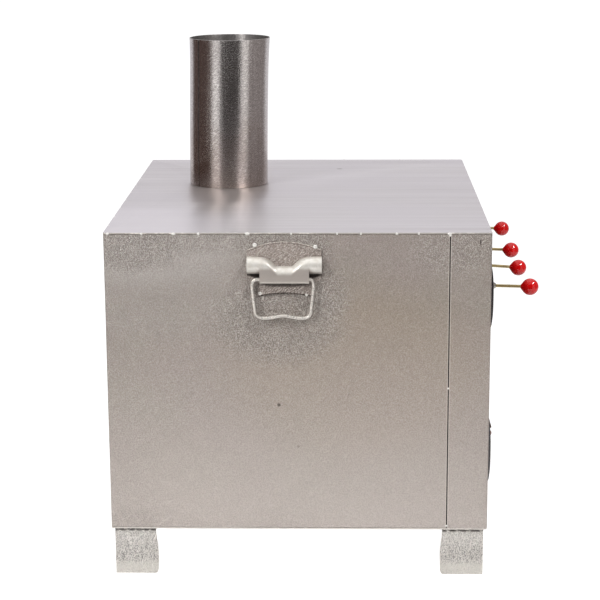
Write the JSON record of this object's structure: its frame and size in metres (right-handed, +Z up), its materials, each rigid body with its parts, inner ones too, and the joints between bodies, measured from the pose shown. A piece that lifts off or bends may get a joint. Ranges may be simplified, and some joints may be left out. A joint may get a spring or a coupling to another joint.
{
  "type": "sweet potato roaster",
  "caption": "Table-top charcoal roaster: steel cabinet on angle legs with ball-knob roasting drawers above charcoal drawers, a lift-off flue pipe and a bail handle on each side.",
  "frame": {"origin": "floor level, under the middle of the overall box, knobs included", "axes": "+Z up, the drawer fronts face -Y, +X to the right of someone facing the drawers"},
  "size_m": [0.575, 0.5015, 0.6],
  "materials": {
    "hammertone_paint": "warm grey-silver hammertone paint, fine orange peel, satin",
    "satin_steel": "bare sheet brushed along the cabinet's depth, satin",
    "pipe_steel": "thin bare steel tube, fine upright brushing, bright",
    "handle_silver": "smooth silver paint over pressed steel",
    "black_enamel": "black, satin",
    "zinc_rod": "yellow zinc plating on steel rod",
    "grey_nut": "grey plated steel",
    "red_ball": "glossy red plastic",
    "plain_sheet": "plain galvanised sheet, dull, heat stained",
    "fire_iron": "dark iron, matt, sooty",
    "mineral_wool": "matted mineral wool slab"
  },
  "bodies": {
    "cabinet": {"outer_wrap": "hammertone_paint", "front_panel": "hammertone_paint", "top_panel": "satin_steel", "bottom_panel": "hammertone_paint", "chamber_liner": "plain_sheet", "centre_divider": "plain_sheet", "roast_runner_left_outer": "plain_sheet", "roast_runner_left_inner": "plain_sheet", "roast_runner_right_outer": "plain_sheet", "roast_runner_right_inner": "plain_sheet", "charcoal_runner_left_outer": "plain_sheet", "charcoal_runner_left_inner": "plain_sheet", "charcoal_runner_right_outer": "plain_sheet", "charcoal_runner_right_inner": "plain_sheet", "flame_spreader_left": "fire_iron", "flame_spreader_right": "fire_iron", "insulation_left": "mineral_wool", "insulation_right": "mineral_wool", "insulation_back": "mineral_wool", "insulation_top": "mineral_wool", "insulation_bottom": "mineral_wool", "flue_collar": "plain_sheet", "leg_front_left": "hammertone_paint", "leg_front_right": "hammertone_paint", "leg_back_left": "hammertone_paint", "leg_back_right": "hammertone_paint", "handle_plate_left": "hammertone_paint", "handle_plate_right": "hammertone_paint", "handle_bracket_left": "handle_silver", "handle_bracket_right": "handle_silver"},
    "chimney": {"chimney_pipe": "pipe_steel"},
    "bail_left": {"handle_bail_left": "handle_silver"},
    "bail_right": {"handle_bail_right": "handle_silver"},
    "roast_drawer_left": {"roast_tray_left": "plain_sheet", "roast_front_left": "black_enamel", "handle_rod_left_outer": "zinc_rod", "handle_rod_left_inner": "zinc_rod", "ball_knob_left_outer": "red_ball", "ball_knob_left_inner": "red_ball", "rod_collar_left_outer": "grey_nut", "rod_collar_left_inner": "grey_nut"},
    "roast_drawer_right": {"roast_tray_right": "plain_sheet", "roast_front_right": "black_enamel", "handle_rod_right_inner": "zinc_rod", "handle_rod_right_outer": "zinc_rod", "ball_knob_right_inner": "red_ball", "ball_knob_right_outer": "red_ball", "rod_collar_right_inner": "grey_nut", "rod_collar_right_outer": "grey_nut"},
    "charcoal_drawer_left": {"charcoal_tray_left": "plain_sheet", "charcoal_front_left": "black_enamel", "charcoal_grate_left": "fire_iron", "charcoal_pull_left": "fire_iron"},
    "charcoal_drawer_right": {"charcoal_tray_right": "plain_sheet", "charcoal_front_right": "black_enamel", "charcoal_grate_right": "fire_iron", "charcoal_pull_right": "fire_iron"}
  },
  "joints": [
    {"name": "roast_drawer_left_slide", "type": "slide", "parent": "cabinet", "child": "roast_drawer_left", "axis": [0, -1, 0], "range_m": [0, 0.3]},
    {"name": "roast_drawer_right_slide", "type": "slide", "parent": "cabinet", "child": "roast_drawer_right", "axis": [0, -1, 0], "range_m": [0, 0.3]},
    {"name": "charcoal_drawer_left_slide", "type": "slide", "parent": "cabinet", "child": "charcoal_drawer_left", "axis": [0, -1, 0], "range_m": [0, 0.3]},
    {"name": "charcoal_drawer_right_slide", "type": "slide", "parent": "cabinet", "child": "charcoal_drawer_right", "axis": [0, -1, 0], "range_m": [0, 0.3]},
    {"name": "chimney_lift", "type": "slide", "parent": "cabinet", "child": "chimney", "axis": [0, 0, 1], "range_m": [0, 0.035]},
    {"name": "bail_left_swing", "type": "hinge", "parent": "cabinet", "child": "bail_left", "pos_m": [-0.2822, 0.04675, 0.357], "axis": [0, 1, 0], "range_deg": [0, 140]},
    {"name": "bail_right_swing", "type": "hinge", "parent": "cabinet", "child": "bail_right", "pos_m": [0.2822, 0.04675, 0.357], "axis": [0, -1, 0], "range_deg": [0, 140]}
  ]
}
